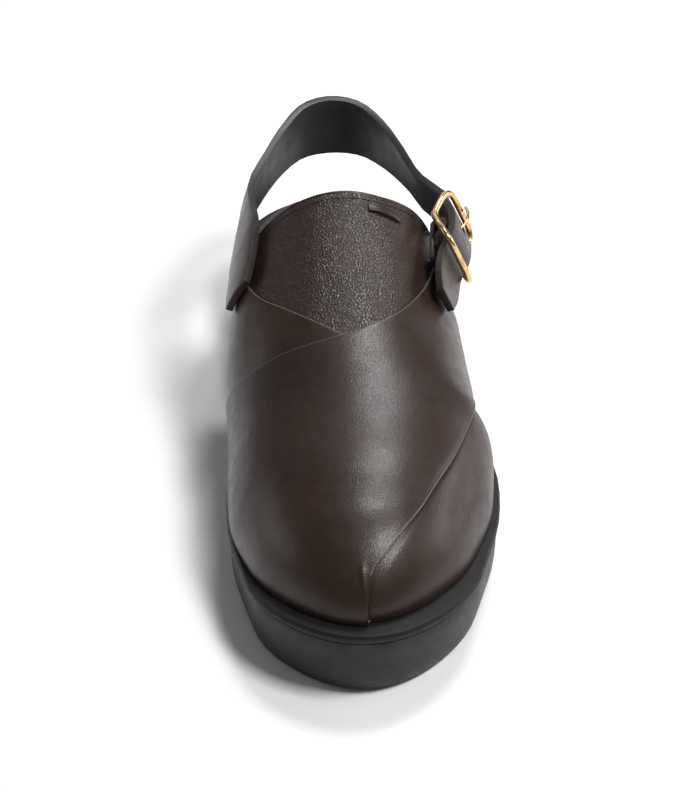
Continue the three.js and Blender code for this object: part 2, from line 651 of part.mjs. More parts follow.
function buckle() {
  const aroundSteps = 48;
  const wireSteps = 8;
  const ring = new THREE.TorusGeometry(1, 0.1, wireSteps, aroundSteps);
  const turns = ring.attributes.uv;
  const points = ring.attributes.position;
  for (let i = 0; i < points.count; i += 1) {
    const turn = turns.getX(i) % 1;
    const around = turns.getY(i) * Math.PI * 2;
    const middle = framePoint(turn);
    const ahead = framePoint((turn + 0.01) % 1).sub(framePoint((turn + 0.99) % 1)).normalize();
    const outwards = new THREE.Vector3(0, 0, 1).addScaledVector(ahead, -ahead.z).normalize();
    const sideways = new THREE.Vector3().crossVectors(ahead, outwards);
    middle.addScaledVector(sideways, Math.cos(around) * wireRadius);
    middle.addScaledVector(outwards, Math.sin(around) * wireRadius);
    points.setXYZ(i, middle.x, middle.y, middle.z);
  }
  const bar = new THREE.CylinderGeometry(wireRadius, wireRadius, BUCKLE_WIDTH, 12);
  bar.translate(0, 0, barHeight);
  return toGeometry(toSolid(ring).add(toSolid(bar))).applyMatrix4(buckleAxes);
}

function prong() {
  const half = BUCKLE_LENGTH / 2;
  const eyeRadius = foldRadius + prongRadius;
  const eye = new THREE.TorusGeometry(eyeRadius, prongRadius, 6, 16);
  eye.rotateX(Math.PI / 2).translate(0, 0, barHeight);
  const eyeTop = barHeight + eyeRadius;
  const rest = endBarHeight + wireRadius + 1.2 * CLEARANCE + prongRadius;
  const overStrap = strapBesideBar + STRAP_THICKNESS / 2 + 1.8 * CLEARANCE + prongRadius;
  const line = new THREE.CatmullRomCurve3([
    new THREE.Vector3(0, 0, eyeTop),
    new THREE.Vector3(half * 0.15, 0, eyeTop + prongRadius * 0.3),
    new THREE.Vector3(half * 0.32, 0, mix(eyeTop, overStrap, 0.55)),
    new THREE.Vector3(half * 0.52, 0, overStrap + prongRadius * 0.6),
    new THREE.Vector3(half * 0.8, 0, rest + prongRadius * 0.3),
    new THREE.Vector3(half, 0, rest),
    new THREE.Vector3(half + BUCKLE_WIRE, 0, rest - prongRadius),
  ]);
  const section = new THREE.Shape().absarc(0, 0, prongRadius, 0, Math.PI * 2, false);
  const wire = new THREE.ExtrudeGeometry(section, { steps: 16, extrudePath: line, curveSegments: 2 });
  return toGeometry(toSolid(eye).add(toSolid(wire))).applyMatrix4(buckleAxes);
}

// The small leather bar that stands on the instep panel under its top edge.
function instepLoop() {
  const y = placeY(mouthEdge(1)) - LOOP_SETBACK;
  return bentBox(8, 2, 1, (u, v, w) => {
    const across = LOOP_ACROSS + ((u - 0.5) * LOOP_LENGTH) / LOOP_ARC;
    const swell = LOOP_THICKNESS * (0.5 + 2 * u * (1 - u));
    return upperPoint(y + (v - 0.5) * LOOP_WIDTH, across, CLEARANCE + w * swell);
  });
}

function material(color, roughness, metalness = 0) {
  return new THREE.MeshStandardMaterial({ color, roughness, metalness });
}

const rubber = material(0x222226, 0.75);
const weltRubber = material(0x2c2c30, 0.6);
const brownLeather = material(0x3a2a24, 0.42);
const liningLeather = material(0x3c3c42, 0.55);
const gold = material(0xd7aa64, 0.25, 1);

function piece(name, geometry, finish) {
  const mesh = new THREE.Mesh(geometry, finish);
  mesh.name = name;
  return mesh;
}

const chappal = new THREE.Group();
chappal.add(piece('outsole', outsole(), rubber));
chappal.add(piece('welt', welt(), weltRubber));
chappal.add(piece('insole', insole(), liningLeather));
chappal.add(piece('upper', upper(), brownLeather));
chappal.add(piece('inner_band', innerBand(), brownLeather));
chappal.add(piece('outer_band', outerBand(), brownLeather));
chappal.add(piece('heel_strap', heelStrap(), brownLeather));
chappal.add(piece('buckle_tab', buckleTab(), brownLeather));
chappal.add(piece('buckle_frame', buckle(), gold));
chappal.add(piece('buckle_prong', prong(), gold));
chappal.add(piece('instep_loop', instepLoop(), brownLeather));

export default chappal;
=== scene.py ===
"""Looks for the peshawari chappal: leather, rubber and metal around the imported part.

Everything is in metres once it is in a mesh. The shapes are worked out in millimetres, in the
part's own frame: +Z up, the toe points along -Y, and the outer (lateral) side is +X.
"""

from __future__ import annotations

import functools
import logging
import math
from dataclasses import dataclass
from enum import Enum
from typing import Callable, Sequence

import bpy
from mathutils import Euler, Matrix, Vector


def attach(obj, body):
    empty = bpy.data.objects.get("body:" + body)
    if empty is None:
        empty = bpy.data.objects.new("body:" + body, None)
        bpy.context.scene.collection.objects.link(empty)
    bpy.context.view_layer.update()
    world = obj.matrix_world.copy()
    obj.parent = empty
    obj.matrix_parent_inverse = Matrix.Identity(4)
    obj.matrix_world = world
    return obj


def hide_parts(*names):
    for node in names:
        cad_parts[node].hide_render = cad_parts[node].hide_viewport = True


LOG = logging.getLogger("chappal")
MM = 0.001
SHOE_MIDDLE = (0.0, -0.13, 0.03)  # in metres
ACROSS_MM = 60.0  # roughly the arc from the welt to the crown, which is one unit across
QUARTER_TURN = math.pi / 2
FULL_TURN = 2 * math.pi

Rgb = tuple[float, float, float]
Xyz = tuple[float, float, float]
Obj = bpy.types.Object
Material = bpy.types.Material
Socket = bpy.types.NodeSocket
Value = float | Rgb | Socket
Curve = Callable[[float], float]
Line = Callable[[float], Vector]
Place = Callable[[float, float], Vector]


# Small helpers for numbers


def clamp01(value: float) -> float:
    """Returns value held between 0 and 1."""
    return min(1.0, max(0.0, value))


def smooth(value: float) -> float:
    """Returns a soft step from 0 to 1."""
    held = clamp01(value)
    return held * held * (3.0 - 2.0 * held)


def mix(low: float, high: float, share: float) -> float:
    """Returns the value at a share of the way from low to high."""
    return low + (high - low) * share


def evenly(low: float, high: float, steps: int) -> list[float]:
    """Returns two ends and the evenly spaced values between them."""
    return [mix(low, high, i / steps) for i in range(steps + 1)]


def bell(distance: float, width: float) -> float:
    """Returns 1 at no distance, falling softly to 0 at about two widths."""
    return math.exp(-((distance / width) ** 2))


def rounded_end(distance: float, length: float) -> float:
    """Returns the height of a quarter ellipse at a distance from its end."""
    return math.sqrt(max(0.0, 1.0 - (1.0 - clamp01(distance / length)) ** 2))


def closer_in_front(share: float, front: float, rear: float) -> float:
    """Returns a place between two ends, with closer steps in front."""
    return mix(front, rear, 1.0 - math.cos(share * QUARTER_TURN))


def closer_in_middle(share: float, power: float = 1.35) -> float:
    """Returns a place across, with closer steps beside the toe's middle line."""
    offset = (share - 0.5) * 2
    return 1.0 + math.copysign(abs(offset) ** power, offset)


def column(rows: Sequence[Sequence[float]], value: int) -> Curve:
    """Makes a smooth curve through one column of a table.

    Args:
        rows: the table, whose first column is the place and rises.
        value: the column to read.

    Returns:
        A function of the place.
    """
    last = len(rows) - 1

    def slope(k: int) -> float:
        """Returns the slope at a row, from the rows beside it."""
        low, high = rows[max(0, k - 1)], rows[min(last, k + 1)]
        return (high[value] - low[value]) / (high[0] - low[0])

    def read(at: float) -> float:
        """Returns the curve's value at a place."""
        i = 0
        while i < last - 1 and at > rows[i + 1][0]:
            i += 1
        span = rows[i + 1][0] - rows[i][0]
        t = clamp01((at - rows[i][0]) / span)
        rest = 1.0 - t
        return (
            rows[i][value] * (1 + 2 * t) * rest * rest
            + rows[i + 1][value] * (3 - 2 * t) * t * t
            + span * (slope(i) * t * rest * rest - slope(i + 1) * t * t * rest)
        )

    return read


# Tables of the shoe, as in its solids. Along is a share of the length from the heel, and across is
# 0 at the inner welt, 1 on the crown and 2 at the outer welt.

OUTLINE = (  # along, centre, half: shares of the ball width
    (0.0, 0.0, 0.37), (0.13, 0.0, 0.38), (0.25, -0.002, 0.38), (0.36, -0.006, 0.394),
    (0.47, -0.012, 0.432), (0.57, -0.009, 0.474), (0.65, -0.003, 0.498), (0.7, -0.008, 0.5),
    (0.76, -0.019, 0.487), (0.85, -0.036, 0.43), (0.92, -0.046, 0.384), (1.0, -0.051, 0.333),
)
SECTIONS = (  # along, inner swell, outer swell, crown
    (0.2, 0.09, 0.07, 1.1), (0.325, 0.115, 0.085, 1.0), (0.407, 0.13, 0.062, 0.9),
    (0.475, 0.118, 0.044, 0.81), (0.52, 0.085, 0.024, 0.765), (0.559, 0.05, 0.014, 0.72),
    (0.6, 0.03, 0.022, 0.68), (0.635, 0.02, 0.04, 0.648), (0.705, 0.016, 0.02, 0.59),
    (0.793, 0.004, 0.0, 0.525), (0.861, 0.0, 0.0, 0.435), (0.915, 0.0, 0.0, 0.37),
    (1.0, 0.0, 0.0, 0.27),
)
MOUTH_EDGE = (  # across, along
    (0.0, 0.372), (0.2, 0.332), (0.4, 0.324), (1.0, 0.327), (1.2, 0.327), (1.33, 0.32),
    (1.44, 0.312), (1.56, 0.31), (1.7, 0.32), (1.85, 0.345), (2.0, 0.386),
)
INNER_BAND_EDGE = (  # across, along
    (0.0, 0.385), (0.2, 0.345), (0.3, 0.336), (0.37, 0.366), (0.45, 0.405), (0.56, 0.453),
    (0.67, 0.488), (0.79, 0.524), (0.95, 0.562), (1.1, 0.588), (1.25, 0.575), (1.42, 0.54),
    (1.6, 0.505), (1.8, 0.467), (2.0, 0.434),
)
OUTER_BAND_EDGE = (  # across, along
    (0.0, 0.53), (0.15, 0.54), (0.29, 0.55), (0.47, 0.567), (0.62, 0.57), (0.79, 0.573),
    (0.95, 0.568), (1.09, 0.553), (1.24, 0.523), (1.38, 0.473), (1.49, 0.425), (1.57, 0.38),
    (1.62, 0.348), (1.68, 0.335), (1.8, 0.348), (2.0, 0.395),
)
TOE_SEAM = (  # across, behind the upper's tip: shares of the length
    (1.0, 0.0), (1.006, 0.02), (1.05, 0.035), (1.2, 0.067), (1.32, 0.118), (1.418, 0.189),
    (1.5, 0.268), (1.56, 0.323), (1.65, 0.375), (1.79, 0.43), (2.0, 0.49),
)

CENTRE = column(OUTLINE, 1)
HALF = column(OUTLINE, 2)
INNER_SWELL = column(SECTIONS, 1)
OUTER_SWELL = column(SECTIONS, 2)
CROWN = column(SECTIONS, 3)
MOUTH = column(MOUTH_EDGE, 1)
INNER_EDGE = column(INNER_BAND_EDGE, 1)
OUTER_EDGE = column(OUTER_BAND_EDGE, 1)
SEAM = column(TOE_SEAM, 1)


@dataclass(frozen=True)
class Last:
    """The form that the leather is drawn over.

    Sizes are in millimetres, and the starts and lengths of a change are shares of the sole's
    length from the heel. A distance out is how far a layer's face lies outside the instep panel.
    """

    sole_length: float = 295.0
    ball_width: float = 108.0
    heel_seat: float = 20.0
    heel_height: float = 34.0
    forefoot_height: float = 26.0
    toe_spring: float = 6.0
    instep_height: float = 68.0
    clearance: float = 0.35
    feather_side: float = 5.0
    feather_heel: float = 3.0
    feather_toe: float = 11.0
    heel_rounding: float = 38.0
    toe_rounding: float = 40.0
    dome_length: float = 30.0
    waist_front: float = 0.59
    waist_length: float = 0.45
    spring_start: float = 0.69
    spring_length: float = 0.31
    spring_power: float = 1.8
    side_start: float = 0.1
    toe_start: float = 0.75
    feather_change: float = 0.25

    def place_y(self, along: float) -> float:
        """Returns the place for a share of the length from the heel."""
        return self.heel_seat - along * self.sole_length

    def along(self, y: float) -> float:
        """Returns the share of the length from the heel for a place."""
        return (self.heel_seat - y) / self.sole_length

    def welt_top(self, y: float) -> float:
        """Works out the height of the welt's upper face.

        Args:
            y: the place along the shoe.

        Returns:
            The height, in millimetres.
        """
        at = self.along(y)
        heel = smooth((at - self.waist_front) / -self.waist_length)
        toe = clamp01((at - self.spring_start) / self.spring_length) ** self.spring_power
        rise = (self.heel_height - self.forefoot_height) * heel
        return self.forefoot_height + rise + self.toe_spring * toe

    def upper_tip(self, out: float) -> float:
        """Returns the place where a layer at a distance out meets the welt in front."""
        return self.place_y(1.0) + self.feather_toe - out

    def seam_y(self, across: float, out: float) -> float:
        """Returns the place of the toe seam, for a layer at a distance out."""
        return self.upper_tip(out) + SEAM(across) * self.sole_length

    def feather_half(self, y: float, out: float) -> float:
        """Works out half the width of the upper's foot.

        Args:
            y: the place along the shoe.
            out: the layer's distance out.

        Returns:
            Half the width, in millimetres, rounded in at the toe and the heel.
        """
        at = self.along(y)
        side_share = smooth((at - self.side_start) / self.feather_change)
        toe_share = smooth((at - self.toe_start) / self.feather_change)
        side = mix(self.feather_heel, self.feather_side, side_share)
        inset = mix(side, self.feather_toe, toe_share)
        toe_length = self.toe_rounding - self.feather_toe / 2 + out
        toe = rounded_end(y - self.upper_tip(out), toe_length)
        heel_end = self.heel_seat - self.feather_heel + out
        heel = rounded_end(heel_end - y, self.heel_rounding + out)
        return (HALF(at) * self.ball_width - inset + out) * toe * heel

    def point(self, y: float, across: float, out: float) -> Vector:
        """Finds a point of the upper's surface.

        Args:
            y: the place along the shoe.
            across: 0 at the inner welt, 1 on the crown and 2 at the outer welt.
            out: the layer's distance out.

        Returns:
            The point, in millimetres.
        """
        at = self.along(y)
        side = -1.0 if across < 1.0 else 1.0
        angle = (across if across < 1.0 else 2.0 - across) * QUARTER_TURN
        swell = (INNER_SWELL(at) if side < 0 else OUTER_SWELL(at)) * self.ball_width
        dome = rounded_end(y - self.upper_tip(out), self.dome_length + out)
        crown = (CROWN(at) * self.instep_height + out) * dome
        low = (1.0 - math.sin(angle)) ** 3
        x = (self.feather_half(y, out) + swell) * math.cos(angle) - swell * low
        z = self.welt_top(y) + self.clearance + crown * math.sin(angle)
        return Vector((CENTRE(at) * self.ball_width + side * x, y, z))


LAST = Last()


@dataclass(frozen=True)
class Fold:
    """A soft round rise or hollow in a band.

    Its height is outwards, and below 0 for a hollow. Its place and its reach along the shoe and
    its reach across are in millimetres, and its place across is as in Last.point.
    """

    height: float
    y: float
    length: float
    across: float
    width: float

    def at(self, y: float, across: float) -> float:
        """Returns its height at a place, in millimetres outwards."""
        beside = (across - self.across) * ACROSS_MM
        return self.height * bell(y - self.y, self.length) * bell(beside, self.width)


# Finishes


class Nodes:
    """A material's shader nodes, added one after another."""

    def __init__(self, name: str) -> None:
        """Makes the material, and keeps its shader and its object coordinates."""
        self.material = bpy.data.materials.new(name)
        self.material.use_nodes = True
        self.tree = self.material.node_tree
        self.shader = self.tree.nodes["Principled BSDF"]
        self.coord = self.tree.nodes.new("ShaderNodeTexCoord").outputs["Object"]

    def put(self, socket: Socket, value: Value) -> None:
        """Links a socket to a socket, or sets it to a value."""
        if isinstance(value, Socket):
            self.tree.links.new(value, socket)
        else:
            socket.default_value = value

    def fill(self, node: bpy.types.Node, inputs: dict[str, Value]) -> None:
        """Fills a node's inputs, which are named with _ for a space."""
        for key, value in inputs.items():
            self.put(node.inputs[key.replace("_", " ")], value)

    def add(self, kind: str, **inputs: Value) -> bpy.types.Node:
        """Adds a node.

        Args:
            kind: the node's type.
            inputs: values or sockets for its inputs.

        Returns:
            The node.
        """
        node = self.tree.nodes.new(kind)
        self.fill(node, inputs)
        return node

    def shade(self, **inputs: Value) -> Material:
        """Fills the shader's inputs and returns the material."""
        self.fill(self.shader, inputs)
        return self.material

    def math(self, kind: str, a: Value, b: Value = 0.0) -> Socket:
        """Works out a sum on two values.

        Args:
            kind: the operation.
            a: its first value.
            b: its second value, where it has one.

        Returns:
            The result.
        """
        node = self.tree.nodes.new("ShaderNodeMath")
        node.operation = kind
        self.put(node.inputs[0], a)
        self.put(node.inputs[1], b)
        return node.outputs[0]

    def place(self, scale: Xyz) -> Socket:
        """Returns object coordinates, scaled by axis."""
        return self.add("ShaderNodeMapping", Vector=self.coord, Scale=scale).outputs["Vector"]

    def axis(self, name: str) -> Socket:
        """Returns one object coordinate in metres."""
        return self.add("ShaderNodeSeparateXYZ", Vector=self.coord).outputs[name]

    def wave(self, name: str, pitch: float) -> Socket:
        """Returns a wave from -1 to 1 along an axis, with its pitch in metres."""
        return self.math("SINE", self.math("MULTIPLY", self.axis(name), FULL_TURN / pitch))

    def warped(self, scale: float, reach: float) -> Socket:
        """Pushes object coordinates out of line.

        Args:
            scale: of the noise that pushes them.
            reach: how far it pushes, in metres.

        Returns:
            The coordinates.
        """
        push = self.tree.nodes.new("ShaderNodeVectorMath")
        push.operation = "SCALE"
        self.put(push.inputs[0], (1.0, 1.0, 1.0))
        self.put(push.inputs["Scale"], self.math("MULTIPLY", self.noise(scale, 2.0), reach))
        moved = self.tree.nodes.new("ShaderNodeVectorMath")
        moved.operation = "ADD"
        self.put(moved.inputs[0], self.coord)
        self.put(moved.inputs[1], push.outputs[0])
        return moved.outputs[0]

    def noise(self, scale: float, detail: float = 3.0, at: Socket | None = None) -> Socket:
        """Adds a noise.

        Args:
            scale: its cells in a metre.
            detail: its octaves.
            at: the coordinates, or None for object coordinates.

        Returns:
            A value between 0 and 1.
        """
        vector = self.coord if at is None else at
        node = self.add("ShaderNodeTexNoise", Vector=vector, Scale=scale, Detail=detail)
        return node.outputs["Fac"]

    def cells(self, scale: float, at: Socket) -> Socket:
        """Returns the distance from the edges of a cell pattern, at coordinates."""
        node = self.add("ShaderNodeTexVoronoi", Vector=at, Scale=scale)
        node.feature = "DISTANCE_TO_EDGE"
        return node.outputs["Distance"]

    def spread(
        self, value: Value, low: float, high: float, to_low: float = 0.0, to_high: float = 1.0
    ) -> Socket:
        """Carries a value from one range to another.

        Args:
            value: the value.
            low: the start of its own range.
            high: the end of its own range.
            to_low: the start of the new range.
            to_high: the end of the new range.

        Returns:
            The new value, held inside its range.
        """
        node = self.add(
            "ShaderNodeMapRange",
            Value=value, From_Min=low, From_Max=high, To_Min=to_low, To_Max=to_high,
        )
        return node.outputs["Result"]

    def blend(self, share: Value, low: Rgb, high: Rgb) -> Socket:
        """Blends two colours.

        Args:
            share: how much of the second colour.
            low: the first colour.
            high: the second colour.

        Returns:
            The colour.
        """
        node = self.tree.nodes.new("ShaderNodeMix")
        node.data_type = "RGBA"
        self.put(node.inputs[0], share)
        self.put(node.inputs[6], (*low, 1.0))
        self.put(node.inputs[7], (*high, 1.0))
        return node.outputs[2]

    def bump(
        self, height: Value, distance: float, strength: float, onto: Socket | None = None
    ) -> Socket:
        """Shows a height in the surface's shading.

        Args:
            height: from 0 to 1.
            distance: the real height of 1, in metres.
            strength: how much of it shows.
            onto: the normal that it is added to, or None.

        Returns:
            The normal.
        """
        node = self.add("ShaderNodeBump", Distance=distance, Strength=strength, Height=height)
        if onto is not None:
            self.put(node.inputs["Normal"], onto)
        return node.outputs["Normal"]

    def facing_down(self) -> Socket:
        """Returns 1 on faces that look at the floor."""
        geometry = self.tree.nodes.new("ShaderNodeNewGeometry")
        z = self.add("ShaderNodeSeparateXYZ", Vector=geometry.outputs["Normal"]).outputs["Z"]
        return self.spread(z, -0.85, -0.7, 1.0, 0.0)


@dataclass(frozen=True)
class Leather:
    """A leather finish: clouded colour, pebbled grain, pores and a soft unevenness.

    Depths and reaches are in metres, and a name that ends in per_m is a count in a metre.
    """

    name: str
    dark: Rgb
    light: Rgb
    roughness: float
    coat: float
    grain_per_m: float
    grain_depth: float
    grain_strength: float
    cloud_per_m: float = 38.0
    patch_per_m: float = 11.0
    rub_per_m: float = 160.0
    warp_per_m: float = 300.0
    warp_reach: float = 0.0009
    pebble_edge: float = 0.22
    pores_per_pebble: float = 2.6
    pore_strength: float = 0.25
    uneven_per_m: float = 45.0
    uneven_depth: float = 0.0015
    uneven_strength: float = 0.16
    coat_roughness: float = 0.22
    specular: float = 0.3

    def relief(self, n: Nodes) -> Socket:
        """Adds the grain, the pores and the unevenness.

        Args:
            n: the material's nodes.

        Returns:
            The normal.
        """
        cells = n.cells(self.grain_per_m, n.warped(self.warp_per_m, self.warp_reach))
        pebbles = n.spread(cells, 0.0, self.pebble_edge)
        normal = n.bump(pebbles, self.grain_depth, self.grain_strength)
        pores = n.noise(self.grain_per_m * self.pores_per_pebble, 3.0)
        normal = n.bump(pores, self.grain_depth * 0.5, self.pore_strength, normal)
        uneven = n.noise(self.uneven_per_m, 2.0)
        return n.bump(uneven, self.uneven_depth, self.uneven_strength, normal)

    def make(self) -> Material:
        """Makes the material.

        Returns:
            The material.
        """
        n = Nodes(self.name)
        clouds = n.math("ADD", n.noise(self.cloud_per_m, 5.0), n.noise(self.patch_per_m, 2.0))
        rubbed = n.noise(self.rub_per_m, 4.0)
        normal = self.relief(n)
        return n.shade(
            Base_Color=n.blend(n.spread(clouds, 0.75, 1.25), self.dark, self.light),
            Roughness=n.spread(rubbed, 0.3, 0.7, self.roughness - 0.06, self.roughness + 0.08),
            Normal=normal,
            Coat_Weight=self.coat,
            Coat_Roughness=self.coat_roughness,
            Coat_Normal=normal,
            Specular_IOR_Level=self.specular,
        )


@dataclass(frozen=True)
class Fibres:
    """Fibres or plies that lie close together, as in cut leather's edge or waxed thread.

    Depths are in metres, and a name that ends in per_m is a count in a metre.
    """

    name: str
    dark: Rgb
    light: Rgb
    roughness: float
    fibres_per_m: float = 900.0
    detail: float = 4.0
    squeeze: Xyz = (1.0, 1.0, 3.0)
    contrast: tuple[float, float] = (0.35, 0.65)
    depth: float = 0.0002
    strength: float = 0.4

    def make(self) -> Material:
        """Makes the material.

        Returns:
            The material.
        """
        n = Nodes(self.name)
        fibres = n.noise(self.fibres_per_m, self.detail, n.place(self.squeeze))
        return n.shade(
            Base_Color=n.blend(n.spread(fibres, *self.contrast), self.dark, self.light),
            Roughness=self.roughness,
            Normal=n.bump(fibres, self.depth, self.strength),
        )


@dataclass(frozen=True)
class Rubber:
    """Moulded rubber, with a fine relief on the faces that look down where it is a tread.

    Places, pitches and heights are in metres, and a name that ends in per_m is a count in a metre.
    """

    name: str
    dark: Rgb
    light: Rgb
    roughness: float
    tread: bool = False
    heel_cap_y: float = -0.014
    toe_cap_y: float = -0.226
    rib_pitch: float = 0.0022
    dot_pitch: float = 0.0046
    relief_height: float = 0.0008
    cloud_per_m: float = 60.0
    haze_per_m: float = 220.0
    skin_per_m: float = 1500.0
    specular: float = 0.3

    def make(self) -> Material:
        """Makes the material.

        Returns:
            The material.
        """
        n = Nodes(self.name)
        clouds = n.spread(n.noise(self.cloud_per_m, 4.0), 0.3, 0.7)
        haze = n.noise(self.haze_per_m, 3.0)
        normal = n.bump(n.noise(self.skin_per_m, 3.0), 0.0002, 0.25)
        if self.tread:
            normal = n.bump(self.relief(n), self.relief_height, 1.0, normal)
        return n.shade(
            Base_Color=n.blend(clouds, self.dark, self.light),
            Roughness=n.spread(haze, 0.3, 0.7, self.roughness - 0.05, self.roughness + 0.07),
            Normal=normal,
            Specular_IOR_Level=self.specular,
        )

    def relief(self, n: Nodes) -> Socket:
        """Works out the ribs on both caps and the dots on the blocks.

        Args:
            n: the material's nodes.

        Returns:
            Their height, from 0 to 1.
        """
        y = n.axis("Y")
        heel = n.math("GREATER_THAN", y, self.heel_cap_y)
        caps = n.math("ADD", heel, n.math("LESS_THAN", y, self.toe_cap_y))
        ribs = n.spread(n.wave("Y", self.rib_pitch), -0.4, 0.4)
        crossed = n.math("MULTIPLY", n.wave("X", self.dot_pitch), n.wave("Y", self.dot_pitch))
        dots = n.spread(crossed, 0.45, 0.75)
        blocks = n.math("SUBTRACT", 1.0, caps)
        height = n.math("ADD", n.math("MULTIPLY", ribs, caps), n.math("MULTIPLY", dots, blocks))
        return n.math("MULTIPLY", height, n.facing_down())


@dataclass(frozen=True)
class Plate:
    """Polished gold plate with faint wear.

    The worn colour shows where the polish has dulled.
    """

    name: str
    bright: Rgb
    worn: Rgb
    roughness: float = 0.2
    dulling: float = 0.14
    wear_per_m: float = 420.0
    ripple_per_m: float = 900.0

    def make(self) -> Material:
        """Makes the material.

        Returns:
            The material.
        """
        n = Nodes(self.name)
        wear = n.spread(n.noise(self.wear_per_m, 5.0), 0.45, 0.75)
        duller = n.spread(wear, 0.0, 1.0, self.roughness, self.roughness + self.dulling)
        return n.shade(
            Base_Color=n.blend(wear, self.bright, self.worn),
            Roughness=duller,
            Normal=n.bump(n.noise(self.ripple_per_m, 4.0), 0.0001, 0.12),
            Metallic=1.0,
        )


class Finish(Enum):
    """The shoe's finishes."""

    BAND = Leather(
        "waxed_band_leather", (0.016, 0.0072, 0.0045), (0.029, 0.0140, 0.0092),
        roughness=0.44, coat=0.3, grain_per_m=1100.0, grain_depth=0.00016, grain_strength=0.16,
    )
    INSTEP = Leather(
        "pebbled_instep_leather", (0.017, 0.0080, 0.0060), (0.031, 0.0160, 0.0118),
        roughness=0.4, coat=0.35, grain_per_m=900.0, grain_depth=0.0004, grain_strength=0.32,
    )
    LINING = Leather(
        "soft_lining", (0.030, 0.030, 0.034), (0.050, 0.049, 0.055),
        roughness=0.5, coat=0.05, grain_per_m=1100.0, grain_depth=0.0001, grain_strength=0.3,
    )
    # The cut edges' light colour is partly their own and partly a painted highlight where they
    # catch the light.
    EDGE = Fibres("edge_with_painted_highlight", (0.06, 0.048, 0.045), (0.15, 0.125, 0.12), 0.4)
    INK = Fibres("dark_edge", (0.010, 0.008, 0.008), (0.030, 0.024, 0.022), 0.42)
    SOLE = Rubber("moulded_sole", (0.018, 0.0175, 0.0205), (0.027, 0.0265, 0.031), 0.5, True)
    WELT = Rubber("moulded_welt", (0.006, 0.006, 0.0066), (0.010, 0.0098, 0.011), 0.55)
    GOLD = Plate("gold_plate", (0.80, 0.56, 0.28), (0.52, 0.32, 0.13))
    THREAD = Fibres(
        "waxed_thread", (0.016, 0.013, 0.012), (0.045, 0.036, 0.032), 0.55, fibres_per_m=2600.0,
        detail=2.0, squeeze=(1.0, 2.0, 1.0), contrast=(0.0, 1.0), depth=0.0001, strength=0.5,
    )

    @functools.cache
    def material(self) -> Material:
        """Returns the finish's material, made once."""
        return self.value.make()


# Helpers for the bench: selecting, making and finishing pieces


def stand(name: str, data: bpy.types.ID) -> Obj:
    """Adds an object to the scene, at the origin.

    Args:
        name: the object's name.
        data: its mesh, curve, camera or light.

    Returns:
        The object.
    """
    obj = bpy.data.objects.new(name, data)
    bpy.context.scene.collection.objects.link(obj)
    return obj


def only(obj: Obj) -> None:
    """Makes one object the only one selected, and the active one."""
    bpy.ops.object.select_all(action="DESELECT")
    obj.select_set(True)
    bpy.context.view_layer.objects.active = obj


def edit(obj: Obj, steps: Callable[[], object]) -> None:
    """Runs edit-mode steps on all of an object.

    Args:
        obj: the object.
        steps: runs the steps, with everything selected.
    """
    only(obj)
    bpy.ops.object.mode_set(mode="EDIT")
    bpy.ops.mesh.select_all(action="SELECT")
    steps()
    bpy.ops.object.mode_set(mode="OBJECT")


def apply_modifier(obj: Obj, kind: str, **values: object) -> None:
    """Adds a modifier and applies it.

    Args:
        obj: the object.
        kind: the modifier's type.
        values: its settings.
    """
    only(obj)
    modifier = obj.modifiers.new(kind.lower(), kind)
    for key, value in values.items():
        setattr(modifier, key, value)
    bpy.ops.object.modifier_apply(modifier=modifier.name)


def merge_points(obj: Obj, distance: float) -> None:
    """Merges points that are closer than a distance, in metres."""
    edit(obj, lambda: bpy.ops.mesh.remove_doubles(threshold=distance))


def join_triangles(obj: Obj, flat: float, square: float = 60.0) -> None:
    """Joins pairs of triangles into four-sided faces.

    Args:
        obj: the piece.
        flat: the largest angle between the two, in degrees.
        square: how far the new face may be from square, in degrees.
    """
    limits = {"face_threshold": math.radians(flat), "shape_threshold": math.radians(square)}
    edit(obj, lambda: bpy.ops.mesh.tris_convert_to_quads(**limits))


def smooth_shade(obj: Obj, over: float) -> None:
    """Shades an object smooth, but for edges over an angle in degrees."""
    only(obj)
    bpy.ops.object.shade_smooth_by_angle(angle=math.radians(over))


def round_edges(
    obj: Obj, width: float, over: float, crease: float = 40.0, segments: int = 3
) -> None:
    """Rounds the edges over an angle, and shades the piece smooth.

    Args:
        obj: the piece.
        width: of the rounding, in millimetres.
        over: the least angle of an edge that is rounded, in degrees.
        crease: the least angle of an edge that stays sharp in the shading, in degrees.
        segments: the rounding's faces.
    """
    apply_modifier(
        obj, "BEVEL",
        width=width * MM, segments=segments, limit_method="ANGLE", angle_limit=math.radians(over),
    )
    smooth_shade(obj, crease)


def carried_copy(node: str, name: str) -> Obj:
    """Copies a node of the frame, with its points merged.

    Args:
        node: the node's name.
        name: the new piece's name.

    Returns:
        The new object, at the origin.
    """
    obj = stand(name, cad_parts[node].data.copy())
    obj.data.materials.clear()
    merge_points(obj, 1e-5)
    return obj


def dress(obj: Obj, finishes: Sequence[Finish], slot: str, *nodes: str) -> Obj:
    """Gives a piece its finishes, its body and the nodes that it stands for.

    Args:
        obj: the piece.
        finishes: its finishes, in the order of its material indices.
        slot: not used.
        nodes: the CAD nodes that it replaces.

    Returns:
        The piece.
    """
    for index, finish in enumerate(finishes):
        if index < len(obj.data.materials):
            obj.data.materials[index] = finish.material()
        else:
            obj.data.materials.append(finish.material())
    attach(obj, "root")
    if nodes:
        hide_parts(*nodes)
    return obj


def point_outwards(obj: Obj) -> None:
    """Turns a sheet so that its faces look away from the shoe's middle.

    Args:
        obj: the sheet.
    """
    middle = Vector(SHOE_MIDDLE)
    faces = obj.data.polygons
    if sum(face.normal.dot(face.center - middle) * face.area for face in faces) < 0.0:
        edit(obj, lambda: bpy.ops.mesh.flip_normals())


